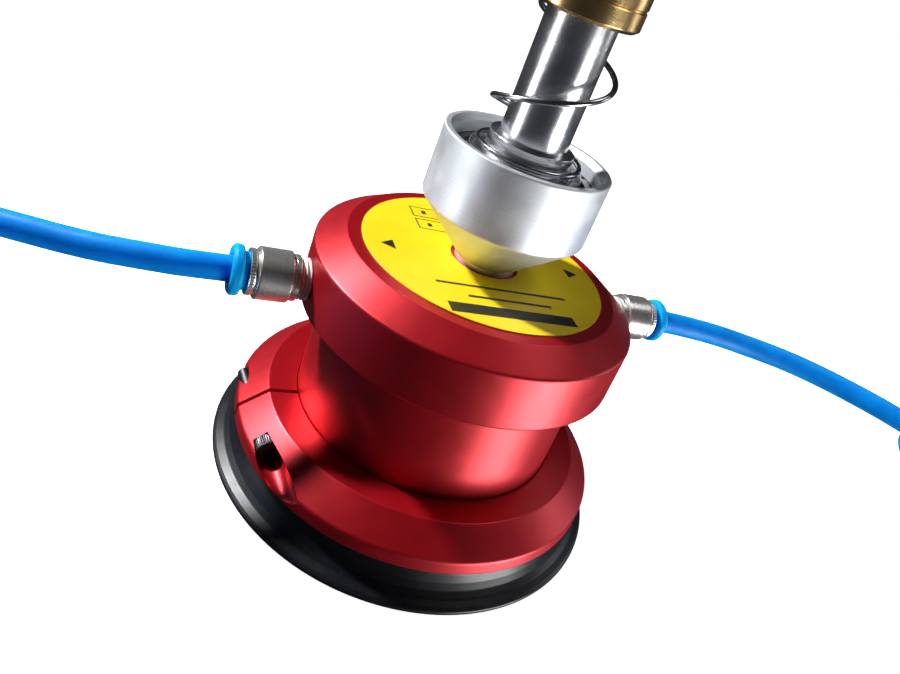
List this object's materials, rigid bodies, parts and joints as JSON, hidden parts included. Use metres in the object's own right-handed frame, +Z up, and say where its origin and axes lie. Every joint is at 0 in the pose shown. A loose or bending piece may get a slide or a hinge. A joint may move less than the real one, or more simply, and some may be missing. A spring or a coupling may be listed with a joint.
{
  "type": "pneumatic magnet gripper head",
  "caption": "Air-switched magnet gripper with a flared rubber lip, a red clamped housing and a spring-loaded swivel shaft, with push-in fittings and blue air tubes.",
  "frame": {"origin": "centre of the rubber lip's contact face, which is the lowest plane of the part", "axes": "+Z up along the shaft, +X out through the upper air port, +Y completes a right-handed frame; the part stands on its lip"},
  "size_m": [0.4807, 0.1021, 0.175],
  "materials": {
    "red_anodised": "satin, red anodised",
    "yellow_label": "printed foil",
    "zinc_steel": "zinc plated",
    "black_rubber": "matte, moulded",
    "stainless_sole": "ground",
    "seal_rubber": "matte",
    "magnet_dark": "nickel plated",
    "satin_aluminium": "satin, turned",
    "ivory_nylon": "machined",
    "black_steel": "blackened",
    "polished_steel": "polished",
    "spring_steel": "drawn wire",
    "brass": "turned, slightly aged",
    "nickel_fitting": "nickel plated",
    "blue_plastic": "moulded",
    "blue_tube": "extruded polyurethane",
    "black_tie": "woven"
  },
  "bodies": {
    "housing": {"housing": "red_anodised", "name_label": "yellow_label", "clamp_ring": "red_anodised", "clamp_screw": "zinc_steel", "suction_lip": "black_rubber", "sole_plate": "stainless_sole", "sole_screws": "zinc_steel", "sole_seal": "seal_rubber", "channel_plug": "zinc_steel", "suspension_cup": "satin_aluminium", "cup_screw": "zinc_steel", "retaining_ring": "black_steel", "fitting_left": "nickel_fitting", "grab_ring_left": "spring_steel", "tube_seal_left": "seal_rubber", "air_tube_left": "blue_tube", "tube_coil_left": "blue_tube", "coil_tie_left": "black_tie", "tail_tube_left": "blue_tube", "end_fitting_left": "nickel_fitting", "end_grab_ring_left": "spring_steel", "end_tube_seal_left": "seal_rubber", "fitting_right": "nickel_fitting", "grab_ring_right": "spring_steel", "tube_seal_right": "seal_rubber", "air_tube_right": "blue_tube", "tube_coil_right": "blue_tube", "coil_tie_right": "black_tie", "tail_tube_right": "blue_tube", "end_fitting_right": "nickel_fitting", "end_grab_ring_right": "spring_steel", "end_tube_seal_right": "seal_rubber"},
    "magnet_piston": {"pole_disc": "zinc_steel", "magnet_discs": "magnet_dark", "piston": "satin_aluminium", "piston_seal": "seal_rubber", "piston_guide": "ivory_nylon", "piston_screw": "zinc_steel"},
    "swivel_seat": {"seat_lower": "ivory_nylon", "seat_upper": "ivory_nylon"},
    "shaft": {"swivel_shaft": "polished_steel", "spring_collar": "polished_steel", "load_spring": "spring_steel", "stop_washer": "zinc_steel", "stop_ring": "black_steel"},
    "guide_bush": {"guide_bush": "brass", "lock_washer": "zinc_steel", "jam_nut": "brass"},
    "release_ring_left": {"release_ring_left": "blue_plastic"},
    "end_release_ring_left": {"end_release_ring_left": "blue_plastic"},
    "release_ring_right": {"release_ring_right": "blue_plastic"},
    "end_release_ring_right": {"end_release_ring_right": "blue_plastic"}
  },
  "joints": [
    {"name": "piston_slide", "type": "slide", "parent": "housing", "child": "magnet_piston", "axis": [0, 0, 1], "range_m": [0, 0.019]},
    {"name": "seat_spin", "type": "hinge", "parent": "housing", "child": "swivel_seat", "pos_m": [0, 0, 0.0843], "axis": [0, 0, 1], "continuous": true},
    {"name": "shaft_tilt", "type": "hinge", "parent": "swivel_seat", "child": "shaft", "pos_m": [0, 0, 0.0843], "axis": [1, 0, 0], "range_deg": [-6, 6]},
    {"name": "bush_slide", "type": "slide", "parent": "shaft", "child": "guide_bush", "axis": [0, 0, 1], "range_m": [-0.025, 0], "stiffness_N_per_m": 1100, "springref_m": 0.01, "deforming": ["load_spring"]},
    {"name": "release_left", "type": "slide", "parent": "housing", "child": "release_ring_left", "axis": [1, 0, 0], "range_m": [0, 0.001], "stiffness_N_per_m": 600, "springref_m": -0.002},
    {"name": "release_right", "type": "slide", "parent": "housing", "child": "release_ring_right", "axis": [-1, 0, 0], "range_m": [0, 0.001], "stiffness_N_per_m": 600, "springref_m": -0.002},
    {"name": "end_release_left", "type": "slide", "parent": "housing", "child": "end_release_ring_left", "axis": [0, 1, 0], "range_m": [0, 0.001], "stiffness_N_per_m": 600, "springref_m": -0.002},
    {"name": "end_release_right", "type": "slide", "parent": "housing", "child": "end_release_ring_right", "axis": [0, 1, 0], "range_m": [0, 0.001], "stiffness_N_per_m": 600, "springref_m": -0.002}
  ]
}
